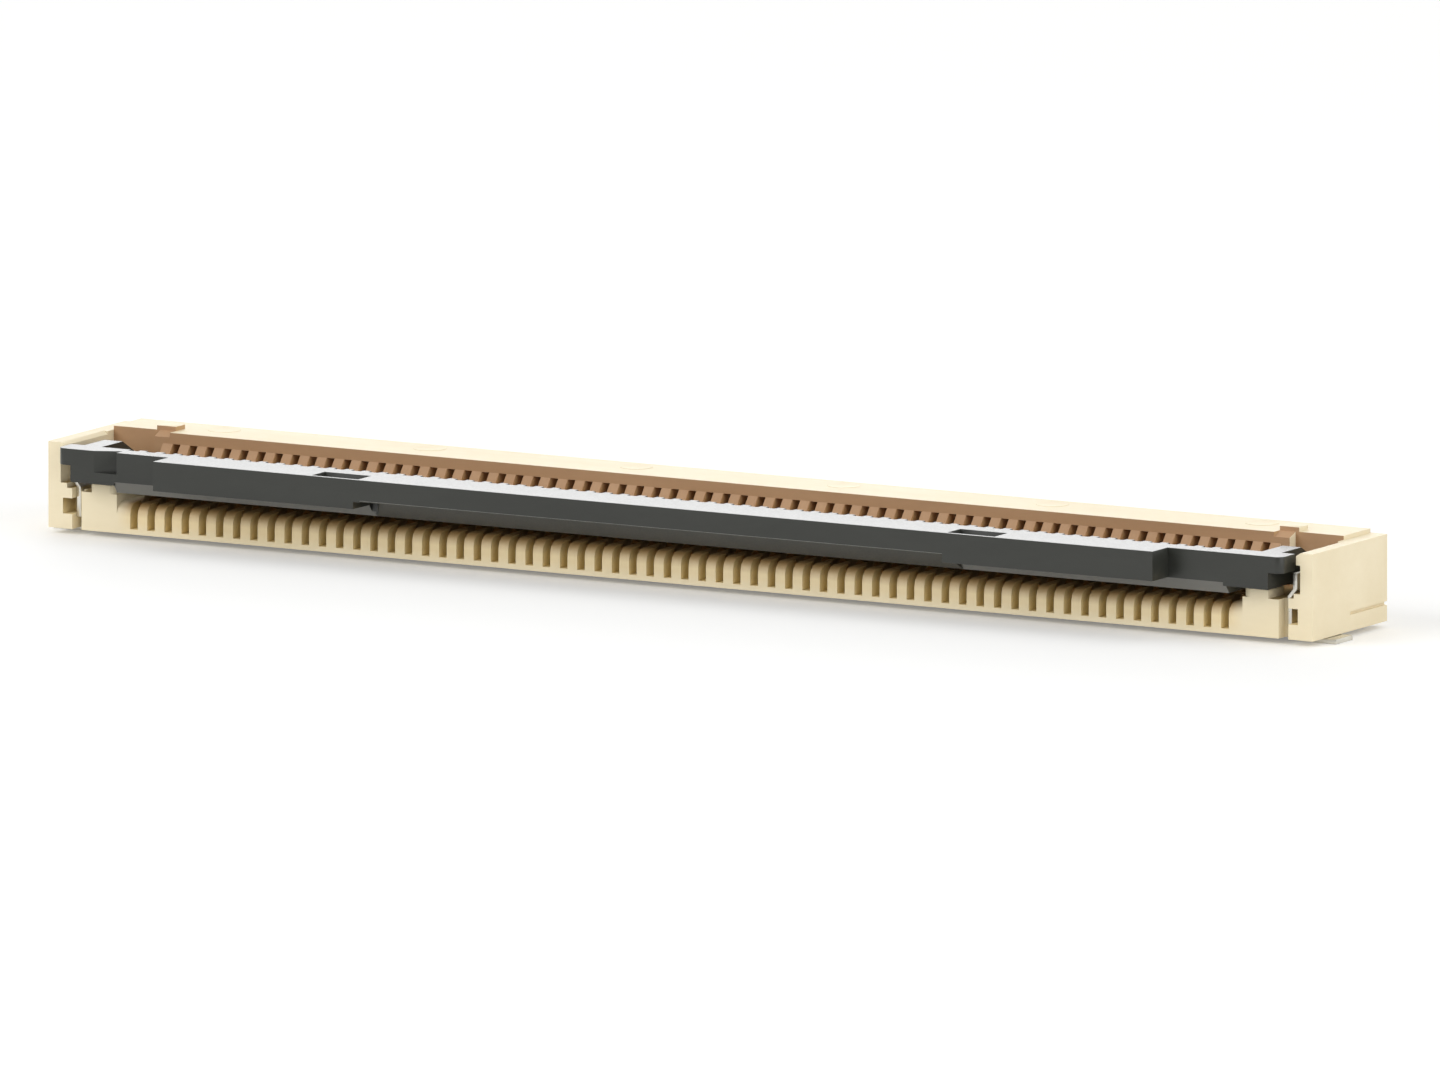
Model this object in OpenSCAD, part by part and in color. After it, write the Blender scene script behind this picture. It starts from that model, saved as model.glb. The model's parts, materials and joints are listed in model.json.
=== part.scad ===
// Fine-pitch flat-cable connector with a front flip actuator, shown closed.
// X runs along the contact row, Y from the cable side to the solder side, Z up from the board.
// Profiles are drawn with Y = 0 on the housing's front face, and in_frame() centres the whole part.

/* [Contact row] */
// Number of contacts in the row
contact_count = 64; // [32:16:80]
// Distance from one contact to the next
pitch = 0.5; // [0.45:0.01:0.6]
// Sheet thickness of a contact
contact_t = 0.19; // [0.14:0.01:0.2]
// Running gap on each side of a contact in its housing slot
slot_gap = 0.015; // [0.01:0.005:0.03]

/* [Housing] */
// Depth of the housing from front face to rear face
housing_depth = 3.78; // [3.6:0.02:4.2]
// Height of the rear block's top above the board
housing_top = 2.44; // [2.4:0.01:2.5]
// Height of an end wall's top above the board
end_top = 2.34; // [2.3:0.01:2.38]
// Gap between the board and the underside of the housing
standoff = 0.15; // [0.14:0.01:0.18]
// Height of the slot floor above the board
slot_floor = 0.28; // [0.26:0.01:0.32]
// Height of the comb on which the cable lies
comb_top = 0.94; // [0.9:0.01:0.97]
// Front face of the rear block
wall_y = 2.12; // [2.1:0.01:2.2]
// Width of a guide block beside the cable
guide_w = 1.03; // [0.95:0.01:1.1]
// Thickness of an end wall
end_wall = 0.48; // [0.4:0.01:0.6]

/* [Actuator] */
// Height of the actuator's flat top above the board
actuator_top = 2.29; // [2.27:0.01:2.32]
// Height of the face that presses the cable
press_z = 1.24; // [1.22:0.01:1.27]
// How far the finger lip stands in front of the housing
lip_reach = 1.31; // [1:0.01:1.6]
// How far the actuator's ends stand in front of the housing
end_reach = 0.55; // [0.5:0.01:0.65]
// Distance of the shaft behind the housing's front face
shaft_y = 1.5; // [1.46:0.01:1.53]
// Height of the shaft above the board
shaft_z = 1.56; // [1.55:0.01:1.58]
// Radius of the shaft
shaft_r = 0.19; // [0.16:0.01:0.2]

/* [Contacts] */
// Length of a solder tail behind the housing
tail_length = 0.7; // [0.5:0.05:1]
// Thickness of a solder tail over the board
tail_t = 0.15; // [0.1:0.01:0.2]
// Height of the sprung contact point above the comb
tip_rise = 0.11; // [0.06:0.01:0.14]

/* [Hold-downs] */
// Sheet thickness of a hold-down
hold_t = 0.13; // [0.1:0.01:0.13]
// Length of a hold-down's solder foot along the housing's side
foot_length = 0.85; // [0.7:0.05:1.2]
// How far a solder foot stands out beyond the housing's side
foot_reach = 0.28; // [0.2:0.01:0.5]

/* [Hidden] */
$fn = 48;
cut = 0.05;
bank_count = 16;

// Along the row
row_half = (contact_count - 1) * pitch / 2;
slot_w = contact_t + 2 * slot_gap;
guide_in = row_half + 0.5;
guide_out = guide_in + guide_w;
guide_raised = guide_out - 0.3;
wall_in = guide_out + 0.49;
half_length = wall_in + end_wall;
hold_x = guide_out + 0.2;
boss_in = row_half + 0.2;
boss_w = 0.55;

// Housing heights and depths
end_floor = 1.13;
guide_top = 1.34;
guide_depth = 0.8;
guide_round = 0.22;
ledge_top = 1.31;
lead_depth = 0.3;
lead_drop = 0.3;
lead_step = 30;
roof = 0.28;
rib_end = row_half + 0.4;
rib_reach = 0.2;
rib_drop = 0.26;
slot_top = housing_top - roof;
boss_h = 0.11;
boss_y = wall_y + 0.3;
boss_depth = 0.45;
notch_drop = 0.12;
wall_chamfer_w = 0.12;
wall_chamfer_h = 0.08;
groove_y = 1.9;
groove_z = 0.56;
groove_h = 0.09;
groove_depth = 0.08;
swing_in = guide_out - 0.88;
swing_y = 2.42;

// Shaft bearings in the end walls
bearing_gap = 0.02;
bearing_r = shaft_r + bearing_gap;
channel_half = shaft_r + bearing_gap / 2;
bearing_depth = 0.12;
mouth_high = shaft_z + 0.47;
mouth_y = 0.5;
mouth_end = 1;

// Actuator along the row
lip_half = row_half - 1.33;
middle_half = row_half - 7.3;
bar_half = guide_in - 0.2;
body_half = guide_out;
ear_half = wall_in - 0.11;
ear_round = 0.2;
arm_in = guide_out - 0.53;
tooth_slot = contact_t + 0.09;
trunnion_end = wall_in + bearing_depth - 0.03;

// Actuator section
front_y = -lip_reach;
top_rear = 0.1;
slope_y = 0.45;
slope_drop = 0.29;
back_y = 0.95;
back_half = 0.25;
tooth_slot_y = shaft_y - 0.68;
tooth_r = shaft_r + 0.1;
comb_notch_y = -0.05;
comb_notch_drop = 0.24;
lip_low = 1.54;
crease_z = 1.76;
press_front = -0.32;
press_rear = shaft_y - 0.3;
body_low = guide_top + 0.11;
arm_step = 0.95;
arm_rear = shaft_y + 0.2;
arm_slope_y = shaft_y - 0.36;
arm_slope_drop = 0.3;
ear_low = actuator_top - 0.42;
ear_rear = 0.15;
gate_in = middle_half + 0.05;
gate_w = 1.35;
gate_y = 0.1 - lip_reach;
gate_depth = 0.65;
gate_drop = 0.2;
relief_w = 0.22;
relief_rise = 0.15;
relief_depth = 0.35;
mark_w = 0.67;
mark_h = 0.55;
mark_depth = 0.3;
mark_x = -row_half - 0.85;

// Contact section
hook_in = shaft_r + 0.02;
hook_out = hook_in + 0.15;
hook_end = 18;
arm_top = shaft_z + hook_out;
spine_front = 2.55;
spine_rear = 2.95;
base_top = slot_floor + 0.25;
tail_start = housing_depth + 0.08;
tail_heel = tail_start + 0.2;
tail_end = housing_depth + tail_length;
tip_y = 0.75;
tip_r = 0.1;
tip_z = comb_top + tip_rise - tip_r;

// Hold-down section
strip_front = 0.2;
strip_low = 0.44;
strip_top = 1.2;
foot_front = 0.7;
foot_rear = foot_front + foot_length;
tab_rear = 0.6;
tab_shift = 0.15;
tab_knee = 1.39;
tab_top = 1.8;
hold_fit = 0.01;
recess_depth = 0.32;
pocket_in = hold_x + hold_t / 2;
pocket_w = 0.28;
pocket_low = 0.53;
pocket_high = 0.93;
pocket_depth = 0.6;

// Middle of the whole part from lip to tails
mid_y = (front_y + tail_end) / 2;

function contact_x(i) = i * pitch - row_half;
function bank_first(b) = floor(b * contact_count / bank_count);
function two_digits(n) = str(n < 10 ? "0" : "", n);
function bank_name(b) = str("contact_bank_", two_digits(b + 1));

// Centres the part between its lip and its tails.
module in_frame() {
    translate([0, -mid_y, 0])
        children();
}

// A box from one corner to the opposite one.
module box(low, high) {
    translate(low)
        cube(high - low);
}

// Extrudes a Y-Z section along the row.
module along_row(x_start, x_end) {
    translate([x_start, 0, 0])
        rotate([90, 0, 90])
            linear_extrude(x_end - x_start)
                children();
}

// Extrudes an X-Z section from front to rear.
module along_depth(y_start, y_end) {
    translate([0, y_end, 0])
        rotate([90, 0, 0])
            linear_extrude(y_end - y_start)
                children();
}

// A round bar along the row on the shaft's axis.
module on_shaft(radius, x_start, x_end) {
    translate([x_start, shaft_y, shaft_z])
        rotate([0, 90, 0])
            cylinder(r = radius, h = x_end - x_start);
}

// Repeats a right-hand shape at the left end.
module both_ends() {
    children();
    mirror([1, 0, 0])
        children();
}

// Raised guide beside the cable, with a rounded lead-in at its inner front edge.
module guide_block() {
    difference() {
        box([guide_in, 0, end_floor - cut], [guide_raised, guide_depth, guide_top]);
        difference() {
            box(
                [guide_in - cut, -cut, end_floor - 2 * cut],
                [guide_in + guide_round, guide_round, guide_top + cut]
            );
            translate([guide_in + guide_round, guide_round, end_floor - 3 * cut])
                cylinder(r = guide_round, h = guide_top);
        }
    }
}

// Solid body of one end, before its slots are cut.
module housing_end() {
    box([guide_in, 0, comb_top - cut], [half_length, wall_y + cut, end_floor]);
    box([hold_x, 0, end_floor - cut], [half_length, wall_y + cut, ledge_top]);
    along_depth(0, wall_y + cut)
        polygon([
            [wall_in, ledge_top - cut],
            [half_length, ledge_top - cut],
            [half_length, end_top],
            [wall_in + wall_chamfer_w, end_top],
            [wall_in, end_top - wall_chamfer_h]
        ]);
    guide_block();
    box(
        [boss_in, boss_y, housing_top - cut],
        [boss_in + boss_w, boss_y + boss_depth, housing_top + boss_h]
    );
}

// Flared groove that lets the shaft's end in from the front and seats it.
module bearing_groove() {
    along_row(wall_in - cut, wall_in + bearing_depth)
        polygon([
            [-cut, ledge_top],
            [mouth_y, ledge_top],
            [mouth_end, shaft_z - channel_half],
            [shaft_y, shaft_z - channel_half],
            [shaft_y, shaft_z + channel_half],
            [mouth_end, shaft_z + channel_half],
            [mouth_y, mouth_high],
            [-cut, mouth_high]
        ]);
    on_shaft(bearing_r, wall_in - cut, wall_in + bearing_depth);
}

// Slot for the upright strip of a hold-down, open in front, and room for its leaning tab.
module hold_down_slot() {
    strip_half = hold_t / 2 + hold_fit;
    box([guide_out, -cut, 0], [hold_x + strip_half, recess_depth, ledge_top + cut]);
    box([hold_x - strip_half, 0, 0], [hold_x + strip_half, foot_rear + hold_fit, ledge_top + cut]);
    box(
        [hold_x, -cut, strip_top - hold_fit],
        [hold_x + strip_half + tab_shift, tab_rear + hold_fit, ledge_top + cut]
    );
}

// Everything cut out of one end of the housing.
module housing_end_cuts() {
    bearing_groove();
    hold_down_slot();
    box([pocket_in, -cut, pocket_low], [pocket_in + pocket_w, pocket_depth, pocket_high]);
    along_row(boss_in, boss_in + boss_w)
        polygon([
            [wall_y - cut, housing_top - notch_drop],
            [wall_y, housing_top - notch_drop],
            [boss_y, housing_top],
            [boss_y, housing_top + cut],
            [wall_y - cut, housing_top + cut]
        ]);
    box([swing_in, wall_y - cut, end_floor], [wall_in, swing_y, housing_top + cut]);
    box(
        [half_length - groove_depth, groove_y, groove_z],
        [half_length + cut, housing_depth + cut, groove_z + groove_h]
    );
}

// Section of the ribs between the slots, which lean forward under the wall's upper band.
module rib_section() {
    polygon([
        [wall_y + cut, slot_top],
        [wall_y, slot_top],
        [wall_y - rib_reach, slot_top - rib_drop],
        [wall_y - rib_reach, comb_top - cut],
        [wall_y + cut, comb_top - cut]
    ]);
}

// What the rounded lead-in takes off the comb's upper front edge.
module lead_in_section() {
    rounding = [
        for (a = [0 : lead_step : 90])
            [lead_depth * (1 - cos(a)), comb_top - lead_drop * (1 - sin(a))]
    ];
    polygon(concat(
        [[lead_depth, comb_top + cut], [-cut, comb_top + cut], [-cut, comb_top - lead_drop]],
        rounding
    ));
}

// Moulded housing: comb in front, block behind, guides and walls at the ends.
module housing() {
    color([0.89, 0.84, 0.72])
        difference() {
            union() {
                box([-half_length, 0, standoff], [half_length, housing_depth, comb_top]);
                box([-half_length, wall_y, comb_top - cut], [half_length, housing_depth, end_top]);
                box([-wall_in, wall_y, end_top - cut], [wall_in, housing_depth, housing_top]);
                along_row(-rib_end, rib_end)
                    rib_section();
                both_ends()
                    housing_end();
            }
            along_row(-guide_in, guide_in)
                lead_in_section();
            for (i = [0 : contact_count - 1])
                box(
                    [contact_x(i) - slot_w / 2, -cut, slot_floor],
                    [contact_x(i) + slot_w / 2, housing_depth + cut, slot_top]
                );
            both_ends()
                housing_end_cuts();
        }
}

// Section of the bar behind the lip, which every zone of the actuator shares.
module bar_section() {
    polygon([
        [-end_reach, actuator_top],
        [-end_reach, lip_low],
        [press_front, press_z],
        [press_rear, press_z],
        [shaft_y, shaft_z - back_half],
        [shaft_y, shaft_z + back_half],
        [back_y, shaft_z + back_half],
        [slope_y, actuator_top - slope_drop],
        [top_rear, actuator_top]
    ]);
}

// Section of the middle third, whose lower front slopes back under a crease.
module middle_section() {
    polygon([
        [front_y, actuator_top],
        [front_y, crease_z],
        [press_front, press_z],
        [0, press_z],
        [0, actuator_top]
    ]);
}

// One end of the actuator: bar end over the guide, arm to the shaft, and ear beside the end wall.
module actuator_end() {
    along_row(bar_half - cut, body_half)
        polygon([
            [-end_reach, actuator_top],
            [-end_reach, body_low],
            [top_rear, body_low],
            [top_rear, actuator_top]
        ]);
    along_row(arm_in, body_half)
        polygon([
            [0, actuator_top],
            [0, body_low],
            [arm_step, body_low],
            [shaft_y - back_half, shaft_z - back_half],
            [arm_rear, shaft_z - back_half],
            [arm_rear, actuator_top - arm_slope_drop],
            [arm_slope_y, actuator_top]
        ]);
    difference() {
        box([body_half - cut, -end_reach, ear_low], [ear_half, ear_rear, actuator_top]);
        difference() {
            box(
                [ear_half - ear_round, -end_reach - cut, ear_low - cut],
                [ear_half + cut, ear_round - end_reach, actuator_top + cut]
            );
            translate([ear_half - ear_round, ear_round - end_reach, ear_low - 2 * cut])
                cylinder(r = ear_round, h = actuator_top);
        }
    }
}

// Slots that let the contacts' hooks reach the shaft, with a shallow notch in the top before each.
module actuator_comb_cuts() {
    for (i = [0 : contact_count - 1]) {
        x_low = contact_x(i) - tooth_slot / 2;
        x_high = contact_x(i) + tooth_slot / 2;
        box([x_low, tooth_slot_y, press_z - cut], [x_high, shaft_y + 1, actuator_top + cut]);
        box(
            [x_low, comb_notch_y, actuator_top - comb_notch_drop],
            [x_high, tooth_slot_y + cut, actuator_top + cut]
        );
    }
}

// Small cuts that one half of the actuator carries.
module actuator_half_cuts() {
    box(
        [gate_in, gate_y, actuator_top - gate_drop],
        [gate_in + gate_w, gate_y + gate_depth, actuator_top + cut]
    );
    box(
        [middle_half, -lip_reach - cut, lip_low - cut],
        [middle_half + relief_w, relief_depth - lip_reach, lip_low + relief_rise]
    );
}

// Wedge-shaped recess that marks the first way, deepest on its inner side.
module first_way_mark() {
    translate([mark_x, -end_reach, actuator_top - mark_h])
        linear_extrude(mark_h + cut)
            polygon([[0, 0], [0, -cut], [mark_w, -cut], [mark_w, mark_depth]]);
}

// Flip actuator with its finger lip, teeth and shaft in one moulding.
module actuator() {
    color([0.3, 0.3, 0.28])
        union() {
            difference() {
                union() {
                    along_row(-bar_half, bar_half)
                        bar_section();
                    along_row(-middle_half, middle_half)
                        middle_section();
                    on_shaft(tooth_r, -row_half - pitch / 2, row_half + pitch / 2);
                    both_ends() {
                        box([middle_half - cut, front_y, lip_low], [lip_half, 0, actuator_top]);
                        actuator_end();
                    }
                }
                actuator_comb_cuts();
                both_ends()
                    actuator_half_cuts();
                first_way_mark();
            }
            on_shaft(shaft_r, -trunnion_end, trunnion_end);
        }
}

// Upper arm of a contact with the hook that holds the shaft down.
module upper_arm() {
    difference() {
        union() {
            translate([shaft_y, shaft_z])
                circle(r = hook_out);
            translate([shaft_y, shaft_z + hook_in + 0.01])
                square([spine_rear - shaft_y, hook_out - hook_in - 0.02]);
        }
        translate([shaft_y, shaft_z])
            circle(r = hook_in);
        translate([shaft_y, shaft_z])
            polygon([
                [0, 0],
                [-cos(hook_end), -sin(hook_end)],
                [-1, -1],
                [1, -1],
                [1, hook_in],
                [0, hook_in]
            ]);
    }
}

// Lower arm of a contact, sprung from the base up to its contact point.
module lower_arm() {
    polygon([
        [1.95, slot_floor],
        [1.95, slot_floor + 0.22],
        [tip_y + 0.07, tip_z + 0.07],
        [tip_y - 0.07, tip_z + 0.07],
        [tip_y - 0.3, tip_z - 0.08],
        [tip_y - 0.3, tip_z - 0.2],
        [tip_y + 0.05, tip_z - 0.1]
    ]);
    translate([tip_y, tip_z])
        circle(r = tip_r);
}

// Whole section of one stamped contact.
module contact_section() {
    polygon([
        [1.9, slot_floor],
        [tail_start, slot_floor],
        [tail_start, 0],
        [tail_end, 0],
        [tail_end, tail_t],
        [tail_heel, tail_t],
        [tail_heel, base_top],
        [spine_rear, base_top],
        [spine_rear, arm_top - 0.02],
        [spine_front, arm_top - 0.02],
        [spine_front, slot_floor + 0.22],
        [1.9, slot_floor + 0.22]
    ]);
    upper_arm();
    lower_arm();
}

// A bank of neighbouring contacts, each a separate stamped piece.
module contact_bank(b) {
    color([0.82, 0.68, 0.44])
        for (i = [bank_first(b) : bank_first(b + 1) - 1])
            along_row(contact_x(i) - contact_t / 2, contact_x(i) + contact_t / 2)
                contact_section();
}

// Right-hand hold-down: foot under the housing, upright strip, and a tab leaning outward.
module hold_down() {
    x_in = hold_x - hold_t / 2;
    x_out = hold_x + hold_t / 2;
    box([x_in, foot_front, 0], [half_length + foot_reach, foot_rear, hold_t]);
    box([x_in, foot_front, hold_t - cut], [x_out, foot_rear, strip_top]);
    box([x_in, strip_front, strip_low], [x_out, foot_front + cut, strip_top]);
    along_depth(strip_front, tab_rear)
        polygon([
            [x_in, strip_top - cut],
            [x_out, strip_top - cut],
            [x_out, strip_top],
            [x_out + tab_shift, tab_knee],
            [x_out + tab_shift, tab_top],
            [x_in + tab_shift, tab_top],
            [x_in + tab_shift, tab_knee],
            [x_in, strip_top]
        ]);
}

// Sheet-metal piece that solders the left end to the board.
module hold_down_left() {
    color([0.78, 0.78, 0.76])
        mirror([1, 0, 0])
            hold_down();
}

// Sheet-metal piece that solders the right end to the board.
module hold_down_right() {
    color([0.78, 0.78, 0.76])
        hold_down();
}

in_frame() housing();
in_frame() actuator();
in_frame() hold_down_left();
in_frame() hold_down_right();
for (b = [0 : bank_count - 1])
    in_frame() contact_bank(b);
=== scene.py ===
# %% [markdown]
# # A fine-pitch flat-cable connector
#
# The part is a low connector that is soldered to a circuit board. A flat cable slides in at the
# front, and the dark lever flips down to press it onto a row of 64 sprung contacts. The exact
# solids come from CAD. This lesson adds what CAD leaves out: the softened edges of moulded and
# stamped pieces, the little marks that a mould leaves, the finishes, and studio light.

# %% Load the solids
import json
import math

import bpy
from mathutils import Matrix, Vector


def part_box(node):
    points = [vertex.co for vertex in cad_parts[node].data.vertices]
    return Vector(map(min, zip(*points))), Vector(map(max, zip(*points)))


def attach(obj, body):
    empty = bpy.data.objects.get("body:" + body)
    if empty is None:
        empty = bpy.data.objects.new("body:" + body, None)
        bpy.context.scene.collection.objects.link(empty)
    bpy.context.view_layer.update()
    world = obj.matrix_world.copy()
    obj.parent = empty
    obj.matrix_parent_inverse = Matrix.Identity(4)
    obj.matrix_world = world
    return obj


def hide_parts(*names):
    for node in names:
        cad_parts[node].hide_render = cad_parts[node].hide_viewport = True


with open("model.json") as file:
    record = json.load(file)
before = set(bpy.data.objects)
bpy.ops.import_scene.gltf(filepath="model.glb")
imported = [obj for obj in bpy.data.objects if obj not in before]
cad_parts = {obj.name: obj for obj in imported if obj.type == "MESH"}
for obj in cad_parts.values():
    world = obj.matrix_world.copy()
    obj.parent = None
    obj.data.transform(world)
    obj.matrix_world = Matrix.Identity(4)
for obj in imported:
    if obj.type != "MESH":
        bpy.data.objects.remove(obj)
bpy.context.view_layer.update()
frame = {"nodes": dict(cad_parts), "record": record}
MM = 0.001

# %% [markdown]
# ## Places on the part
#
# Faces are picked later by where they are. X runs along the row, Y from the cable side to the
# solder side, and Z up from the board. The frame's origin is in the middle of the footprint, which
# is no edge that one can see. So FRONT is where the housing's front face lies, and a place is read
# as out from the middle of the row, back from that face, and up. FAR is a limit in millimetres that
# no place on the part reaches.

# %% Landmarks
FRONT = -1.585 * MM
ROW_HALF = 15.75 * MM
FAR = 99
ANYWHERE = (-FAR, FAR)


def depth(y):
    """Distance behind the housing's front face."""
    return y - FRONT


def inside(place, out=ANYWHERE, back=ANYWHERE, up=ANYWHERE):
    """Whether a place lies in a box whose limits are given in millimetres."""
    spans = ((abs(place.x), out), (depth(place.y), back), (place.z, up))
    return all(low * MM < value < high * MM for value, (low, high) in spans)


housing_low, housing_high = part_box("housing")
print("housing depth in mm:", round((housing_high[1] - housing_low[1]) / MM, 3))
print("front face found at:", round(housing_low[1] / MM, 3))

# %% [markdown]
# ## Finishes: the parts they share
#
# Every finish here is a small node tree that starts from Object coordinates, which stay with the
# piece in any pose. Noise at one scale tints the colour a little and noise at a finer scale breaks
# up the gloss, because no moulded or plated face is perfectly even. A picture could be wrapped
# round the piece instead, but it would need unwrapping and would blur in a close view. Each helper
# below adds one node or two.

# %% Start a finish
def link(material, source, target):
    """Join an output of one node to an input of another."""
    material.node_tree.links.new(source, target)


def new_finish(name):
    """Start a material with a plain Principled surface."""
    material = bpy.data.materials.new(name)
    material.use_nodes = True
    nodes = material.node_tree.nodes
    nodes.clear()
    shader = nodes.new("ShaderNodeBsdfPrincipled")
    out = nodes.new("ShaderNodeOutputMaterial")
    link(material, shader.outputs[0], out.inputs[0])
    return material, shader


print("ready to start finishes, materials in the file:", len(bpy.data.materials))

# %% Noise
def noise(material, per_mm, detail=3.0, stretch=(1, 1, 1), fineness=0.5):
    """Noise on Object coordinates with a given number of waves to the millimetre."""
    nodes = material.node_tree.nodes
    place = nodes.new("ShaderNodeTexCoord")
    mapping = nodes.new("ShaderNodeMapping")
    mapping.inputs["Scale"].default_value = [s / MM for s in stretch]
    grain = nodes.new("ShaderNodeTexNoise")
    grain.inputs["Scale"].default_value = per_mm
    grain.inputs["Detail"].default_value = detail
    grain.inputs["Roughness"].default_value = fineness
    link(material, place.outputs["Object"], mapping.inputs["Vector"])
    link(material, mapping.outputs["Vector"], grain.inputs["Vector"])
    return grain.outputs["Fac"]


print("noise is scaled to waves per", MM, "m")

# %% What is made of noise
NOISE_LOW = 0.3
NOISE_HIGH = 0.7


def ramp(material, fac, tones):
    """Turn noise into a blend of a dark and a light tone."""
    node = material.node_tree.nodes.new("ShaderNodeValToRGB")
    dark, light = node.color_ramp.elements
    dark.position, light.position = NOISE_LOW, NOISE_HIGH
    dark.color, light.color = [(*tone, 1) for tone in tones]
    link(material, fac, node.inputs["Fac"])
    return node.outputs["Color"]


def spread(material, fac, low, high, start=NOISE_LOW, end=NOISE_HIGH):
    """Stretch a grey value to a range."""
    node = material.node_tree.nodes.new("ShaderNodeMapRange")
    values = {"From Min": start, "From Max": end, "To Min": low, "To Max": high}
    for name, value in values.items():
        node.inputs[name].default_value = value
    link(material, fac, node.inputs["Value"])
    return node.outputs["Result"]


def bump(material, shader, height, depth_m, strength):
    """Raise the surface a little by a grey value."""
    node = material.node_tree.nodes.new("ShaderNodeBump")
    node.inputs["Strength"].default_value = strength
    node.inputs["Distance"].default_value = depth_m
    link(material, height, node.inputs["Height"])
    link(material, node.outputs["Normal"], shader.inputs["Normal"])


print("noise is used between", NOISE_LOW, "and", NOISE_HIGH)

# %% [markdown]
# ## Finish: moulded plastic
#
# The housing and the lever are moulded from heat-proof, glass-filled plastics. They are satin
# rather than shiny, and streaked very faintly along the row, the way the melt flowed. A stretched
# noise gives the streaks, and a fine one gives the fibre grain in gloss and bump. The first plastic
# made from these is painted shade: the cream wall behind the lever, painted amber-brown for the
# shadow and the warm bounced light that it gets there.

# %% Streaks and grain
PLASTIC_IOR = 1.5
FIBRE_HEIGHT = 0.0015 * MM
# painted shade: amber-brown tones that stand in for the shadow on the cream wall behind the lever
WALL_SHADE_TONES = ((0.435, 0.25, 0.125), (0.535, 0.324, 0.175))


def streaks(material, tones):
    """A colour that varies faintly along the flow of the melt."""
    flow = noise(material, per_mm=0.35, detail=8.0, stretch=(0.3, 1, 1), fineness=0.7)
    return ramp(material, flow, tones)


def grained(material, shader, gloss, relief=0.2):
    """Fine fibre grain in the gloss and on the surface."""
    grain = noise(material, per_mm=22)
    link(material, spread(material, grain, *gloss), shader.inputs["Roughness"])
    bump(material, shader, grain, FIBRE_HEIGHT, relief)
    shader.inputs["IOR"].default_value = PLASTIC_IOR


def moulded(name, tones, gloss):
    """A satin plastic of one colour."""
    material, shader = new_finish(name)
    link(material, streaks(material, tones), shader.inputs["Base Color"])
    grained(material, shader, gloss)
    return material


PAINTED_WALL_SHADE = moulded("cream with painted wall shade", WALL_SHADE_TONES, gloss=(0.5, 0.64))
print("first finish:", PAINTED_WALL_SHADE.name)

# %% [markdown]
# ## Finish: cream with a painted glow and a painted shadow in the comb
#
# Thin fins of this plastic let light soak in, and what comes back out is warmer, so the lit fronts
# of the comb get a painted warm glow of honey. High up, the lever casts its shadow on the fins, and
# that is painted too: they fade to a deep amber with the height. The glow could be left to light
# that scatters under the skin, but that is slow and is lost when the finish is baked. Two masks
# keep
# the painted change to the comb: one across the row and one from front to rear.

# %% Places and blends
def along(material, axis):
    """The Object coordinate along one axis."""
    nodes = material.node_tree.nodes
    place = nodes.new("ShaderNodeTexCoord")
    split = nodes.new("ShaderNodeSeparateXYZ")
    link(material, place.outputs["Object"], split.inputs["Vector"])
    return split.outputs[axis]


def mixed(material, fac, first, second, kind="RGBA"):
    """Blend two colours, or two strengths of the kind FLOAT, by a grey value."""
    node = material.node_tree.nodes.new("ShaderNodeMix")
    node.data_type = kind
    link(material, fac, node.inputs["Factor"])
    link(material, first, node.inputs["A"])
    link(material, second, node.inputs["B"])
    return node.outputs["Result"]


def combined(material, operation, first, second=None):
    """Work out a grey value from one or two others."""
    node = material.node_tree.nodes.new("ShaderNodeMath")
    node.operation = operation
    link(material, first, node.inputs[0])
    if second is not None:
        link(material, second, node.inputs[1])
    return node.outputs[0]


print("materials in the file:", len(bpy.data.materials))

# %% Masks of the comb
ROW_END = (ROW_HALF + 0.1 * MM, ROW_HALF + 0.5 * MM)
COMB_REAR = (FRONT + 1.8 * MM, FRONT + 1.9 * MM)


def in_comb(material):
    """Grey value that is 1 in the comb and 0 elsewhere."""
    across = combined(material, "ABSOLUTE", along(material, "X"))
    in_row = spread(material, across, 1, 0, *ROW_END)
    in_front = spread(material, along(material, "Y"), 1, 0, *COMB_REAR)
    return combined(material, "MULTIPLY", in_row, in_front)


print("comb ends at", round(depth(COMB_REAR[1]) / MM, 2), "mm behind the front face")

# %% Cream, a painted glow and the lever's painted shadow
CREAM_TONES = ((0.845, 0.725, 0.485), (0.93, 0.82, 0.59))
# painted light and shade: honey for the glow of the lit fins, deep amber for the lever's shadow
PAINTED_GLOW_TONES = ((0.845, 0.675, 0.385), (0.93, 0.77, 0.48))
LEVER_SHADOW_TONES = ((0.42, 0.25, 0.09), (0.5, 0.31, 0.125))
PAINTED_GLOW_HEIGHT = (0.15 * MM, 0.45 * MM)
LEVER_SHADOW_HEIGHT = (0.58 * MM, 0.9 * MM)


def cream_plastic():
    """Cream all over, but in the comb a painted warm glow and higher up the lever's painted shadow.
    """
    material, shader = new_finish("cream moulded plastic")
    height = along(material, "Z")
    cream = streaks(material, CREAM_TONES)
    glow_amount = spread(material, height, 0, 1, *PAINTED_GLOW_HEIGHT)
    painted_glow = mixed(material, glow_amount, cream, streaks(material, PAINTED_GLOW_TONES))
    shaded = spread(material, height, 0, 1, *LEVER_SHADOW_HEIGHT)
    comb = mixed(material, shaded, painted_glow, streaks(material, LEVER_SHADOW_TONES))
    colour = mixed(material, in_comb(material), cream, comb)
    link(material, colour, shader.inputs["Base Color"])
    grained(material, shader, gloss=(0.46, 0.6), relief=0.45)
    return material


CREAM = cream_plastic()
print("housing finish:", CREAM.name)
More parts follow.
